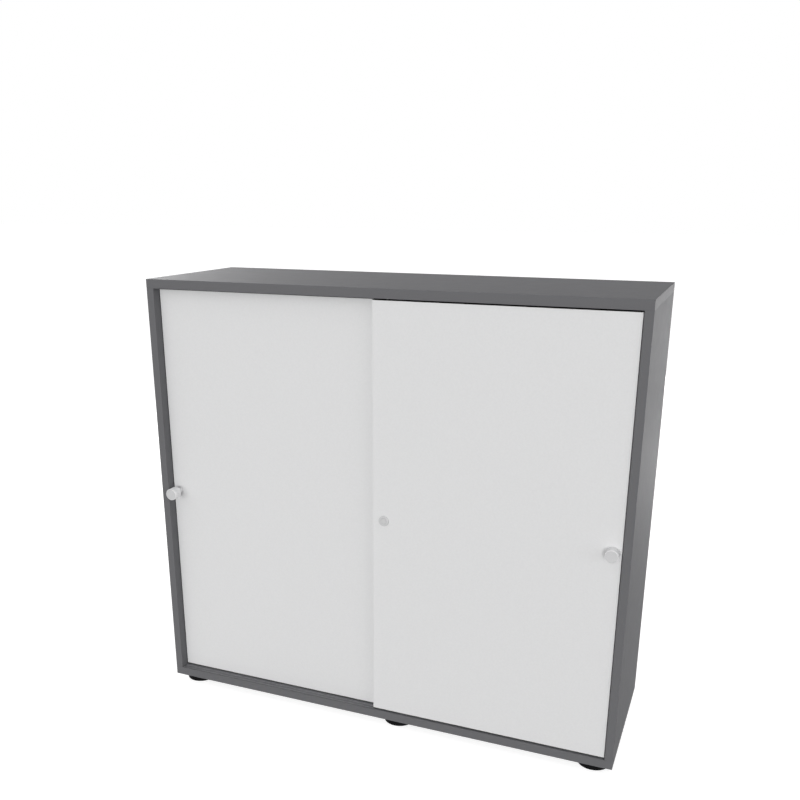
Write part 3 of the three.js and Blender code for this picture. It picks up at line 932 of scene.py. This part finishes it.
def knob(side):
    """A turned knob with a satin face let into its front, a body in a lighter silver that is painted light
    on its sides and rim, and a stud through the door.
    """
    node = side + "_knob"
    low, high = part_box(node)
    radius, place = (high.x - low.x) / 2, (low + high) / 2
    # The body's lighter silver is painted light on its sides and rim.
    metal = turned_metal("bright_silver_" + node, SILVER_WITH_PAINTED_LIGHT, LACQUER, place)
    satin = turned_metal("satin_silver_" + node, SILVER, SATIN, place)
    inner = radius - KNOB_RIM
    profile = [
        *shaped(radius, 0, 1, KNOB_REAR),
        *shaped(radius, KNOB_BODY, -1, KNOB_FRONT),
        (inner + KNOB_LIP, KNOB_BODY),
        (inner, KNOB_BODY - KNOB_LIP),
        (inner, KNOB_BODY - KNOB_RECESS),
        (AXIS, KNOB_BODY - KNOB_RECESS),
    ]
    seat = low.y + KNOB_BODY
    body = laid(turned(profile, metal), (0, -1, 0), (place.x, seat, place.z))
    dress(body, node + "_turned", side + "_door", "silver", node)
    share, height, middle = KNOB_DISH
    disc = [*shaped(inner, 0, 1, KNOB_FACE), (inner * share, height), (AXIS, middle)]
    face = laid(turned(disc, satin), (0, -1, 0), (place.x, low.y + KNOB_RECESS, place.z))
    dress(face, node + "_face", side + "_door", "silver")
    stud = laid(threaded(STUD_RADIUS, high.y - seat, STUD_PITCH), (0, 1, 0), (place.x, seat, place.z))
    dress(stud, node + "_stud", side + "_door", "steel")


def knob_spacer():
    """The sleeve that brings the rear door's knob level with the other."""
    low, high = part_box("left_knob_spacer")
    radius, place, length = (high.x - low.x) / 2, (low + high) / 2, high.y - low.y
    # The spacer's lighter silver is painted light on its sides.
    metal = turned_metal("bright_silver_spacer", SILVER_WITH_PAINTED_LIGHT, LACQUER, place)
    bore = STUD_RADIUS + FIT
    profile = [
        (bore, 0),
        (radius - SPACER_CHAMFER, 0),
        (radius, SPACER_CHAMFER),
        (radius, length - SPACER_CHAMFER),
        (radius - SPACER_CHAMFER, length),
        (bore, length),
    ]
    sleeve = laid(turned(profile, metal, FINE, ring=True), (0, 1, 0), (place.x, low.y, place.z))
    dress(sleeve, "left_knob_spacer_turned", "left_door", "silver", "left_knob_spacer")


def lock():
    """The lock's flanged housing, and in it the plug with its keyway and its cam."""
    low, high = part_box("lock_housing")
    radius, axis = (high.x - low.x) / 2, (low + high) / 2
    metal = turned_metal("satin_silver_lock", SILVER, SATIN, axis)
    bore, collar = PLUG + FIT, NECK + FIT
    profile = [
        (bore, LOCK_MOUTH),
        (bore + LOCK_MOUTH, 0),
        *shaped(radius, 0, 1, FLANGE_EDGE),
        (radius, FLANGE_THICKNESS),
        (LOCK_TUBE, FLANGE_THICKNESS),
        (LOCK_TUBE, LOCK_DEPTH - TUBE_CHAMFER),
        (LOCK_TUBE - TUBE_CHAMFER, LOCK_DEPTH),
        (collar, LOCK_DEPTH),
        (collar, LOCK_DEPTH - COLLAR),
        (bore, LOCK_DEPTH - COLLAR),
    ]
    sleeve = laid(turned(profile, metal, FINE, ring=True), (0, 1, 0), (axis.x, low.y, axis.z))
    dress(sleeve, "lock_housing_turned", "right_door", "silver", "lock_housing")

    front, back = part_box("lock_cylinder")
    cam_front = back.y - CAM_THICKNESS
    shoulder = high.y - COLLAR - FIT - front.y
    profile = [
        *shaped(PLUG, 0, 1, PLUG_EDGE),
        (PLUG, shoulder),
        (NECK, shoulder),
        (NECK, cam_front - front.y + CAM_THICKNESS / 2),
    ]
    plug = laid(turned(profile, metal), (0, 1, 0), (axis.x, front.y, axis.z))
    wide, tall = KEYWAY
    keyway = block(
        (axis.x - wide, front.y - OVERRUN, axis.z - tall),
        (axis.x + wide, front.y + KEYWAY_DEPTH, axis.z + tall),
    )
    cut(plug, [keyway], metal)
    wide, tall = wide + SHUTTER_LAP, tall + SHUTTER_LAP
    shutter = block(
        (axis.x - wide, front.y + SHUTTER[0], axis.z - tall),
        (axis.x + wide, front.y + SHUTTER[1], axis.z + tall),
        metal,
    )
    cam = block(
        (axis.x - CAM_HALF, cam_front, axis.z - CAM_HALF),
        (back.x, back.y, axis.z + CAM_HALF),
        steel,
    )
    rounded(cam, axis=1, radius=CAM_HALF * ROUND_END, steps=ROUND_STEPS)
    dress(joined([plug, shutter]), "lock_plug", "lock", "silver", "lock_cylinder")
    dress(smooth(eased(cam, CAM_EDGE, ROUND_EDGE_ANGLE)), "lock_cam", "lock", "steel")


def striker():
    """The stud in the rear door that the lock's cam stops."""
    low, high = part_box("striker_stud")
    radius, place, length = (high.x - low.x) / 2, (low + high) / 2, high.y - low.y
    share, chamfer = STRIKER_TAIL
    profile = [
        *((radius * part, height) for part, height in STRIKER_TIP),
        (radius, length - chamfer),
        (radius * share, length),
    ]
    stud = laid(turned(profile, steel, SMALL), (0, 1, 0), (place.x, low.y, place.z))
    dress(stud, "striker_stud_turned", "left_door", "steel", "striker_stud")


# Feet

def foot(node):
    """A foot's pad with its rubber sole and its threaded stem."""
    low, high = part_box(node)
    radius, place = (high.x - low.x) / 2, (low + high) / 2
    profile = [
        *PAD_UNDERSIDE,
        *shaped(radius, 0, 1, PAD_LOWER_EDGE),
        *shaped(radius, PAD_HEIGHT, -1, PAD_UPPER_EDGE),
        (PAD_TOP, PAD_HEIGHT),
    ]
    pad = laid(turned(profile, black), (0, 0, 1), (place.x, place.y, low.z))
    dress(pad, node + "_pad", node, "black", node)
    sole = laid(turned(SOLE, rubber, FINE, ring=True), (0, 0, 1), (place.x, place.y, low.z))
    dress(sole, node + "_sole", node, "black")
    stem = threaded(STEM_RADIUS, high.z - low.z - PAD_HEIGHT, STEM_PITCH, SMALL)
    laid(stem, (0, 0, 1), (place.x, place.y, low.z + PAD_HEIGHT))
    dress(stem, node + "_stem", node, "steel")


def foot_socket(node):
    """The flanged sleeve in the bottom panel that a foot's stem turns in."""
    low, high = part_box(node)
    flange, height, place = (high.x - low.x) / 2, high.z - low.z, (low + high) / 2
    profile = [
        (SOCKET_BORE + SOCKET_MOUTH, 0),
        (flange - FLANGE_CHAMFER, 0),
        (flange, FLANGE_CHAMFER),
        (flange, SOCKET_FLANGE),
        (SOCKET_SLEEVE, SOCKET_FLANGE),
        (SOCKET_SLEEVE, height - SLEEVE_CHAMFER),
        (SOCKET_SLEEVE - SLEEVE_CHAMFER, height),
        (SOCKET_BORE, height),
        (SOCKET_BORE, SOCKET_MOUTH),
    ]
    socket = laid(turned(profile, black, FINE, ring=True), (0, 0, 1), (place.x, place.y, low.z))
    dress(socket, node + "_turned", "carcass", "black", node)


def feet():
    """All the feet and their sockets."""
    for node in nodes_with("foot_"):
        if "socket" not in node:
            foot(node)
            foot_socket(node.replace("foot_", "foot_socket_"))


# Studio

def seen_directly(tree):
    """1 for what the camera sees, straight, in a reflection or through glass, and otherwise 0."""
    path = tree.nodes.new("ShaderNodeLightPath")
    total = path.outputs["Is Camera Ray"]
    for ray in ("Is Glossy Ray", "Is Transmission Ray"):
        most = tree.nodes.new("ShaderNodeMath")
        most.operation = "MAXIMUM"
        tree.links.new(total, most.inputs[0])
        tree.links.new(path.outputs[ray], most.inputs[1])
        total = most.outputs[0]
    return total


def floor():
    """A pale floor that shows white where no shadow falls on it."""
    bpy.ops.object.select_all(action="DESELECT")
    bpy.ops.mesh.primitive_plane_add(size=FLOOR_SIZE, location=(0, 0, 0))
    piece = bpy.context.object
    piece.name = "floor"
    paint = bpy.data.materials.new("floor_paint")
    paint.use_nodes = True
    tree = paint.node_tree
    shader = tree.nodes["Principled BSDF"]
    shader.inputs["Base Color"].default_value = (FLOOR_PAINT, FLOOR_PAINT, FLOOR_PAINT, 1)
    shader.inputs["Roughness"].default_value = 1
    shader.inputs["Specular IOR Level"].default_value = 0
    shader.inputs["Emission Color"].default_value = (1, 1, 1, 1)
    glow = tree.nodes.new("ShaderNodeMath")
    glow.operation = "MULTIPLY"
    glow.inputs[1].default_value = FLOOR_GLOW
    tree.links.new(seen_directly(tree), glow.inputs[0])
    tree.links.new(glow.outputs[0], shader.inputs["Emission Strength"])
    piece.data.materials.append(paint)


def world():
    """Even light from all round, which looks white where it is seen directly."""
    made = bpy.data.worlds.new("studio")
    bpy.context.scene.world = made
    made.use_nodes = True
    tree = made.node_tree
    background = tree.nodes["Background"]
    background.inputs["Color"].default_value = (1, 1, 1, 1)
    level = tree.nodes.new("ShaderNodeMapRange")
    level.inputs["To Min"].default_value = DOME
    level.inputs["To Max"].default_value = 1
    tree.links.new(seen_directly(tree), level.inputs["Value"])
    tree.links.new(level.outputs["Result"], background.inputs["Strength"])


def facing(name, data, direction):
    """Puts a lamp or a camera into the scene, turned to a direction."""
    made = bpy.data.objects.new(name, data)
    bpy.context.scene.collection.objects.link(made)
    made.rotation_euler = Vector(direction).to_track_quat("-Z", "Y").to_euler()
    return made


def lamp(name, place, target, size, power):
    """A soft panel of light at a place, which the camera doesn't see."""
    data = bpy.data.lights.new(name, "AREA")
    data.shape = "RECTANGLE"
    data.size, data.size_y = size
    data.energy = power
    made = facing(name, data, Vector(target) - Vector(place))
    made.location = place
    made.visible_camera = False


def even_light(name, towards, spread, strength):
    """Light as even as daylight, from a soft source that lies in the given direction."""
    data = bpy.data.lights.new(name, "SUN")
    data.energy = strength
    data.angle = math.radians(spread)
    facing(name, data, -Vector(towards))


def camera():
    """The camera where the photograph was taken from."""
    data = bpy.data.cameras.new("camera")
    data.lens = LENS
    data.shift_x, data.shift_y = SHIFT
    data.clip_start, data.clip_end = CLIP
    made = bpy.data.objects.new("camera", data)
    bpy.context.scene.collection.objects.link(made)
    made.location = EYE
    made.rotation_euler = (math.radians(90 - ELEVATION), 0, math.radians(AZIMUTH))
    bpy.context.scene.camera = made


camera()
carcass()
cover_caps("left_side_panel", 1)
cover_caps("right_side_panel", -1)
cover_caps("centre_partition", -1)
cover_caps("centre_partition", 1)
shelf_pins()
runner("lower_track", 1)
runner("upper_rail", -1)
door("left")
door("right")
knob("left")
knob("right")
knob_spacer()
lock()
striker()
feet()
floor()
world()
for light in EVEN_LIGHTS:
    even_light(*light)
for light in LAMPS:
    lamp(*light)
bpy.context.scene.view_settings.view_transform = "Standard"
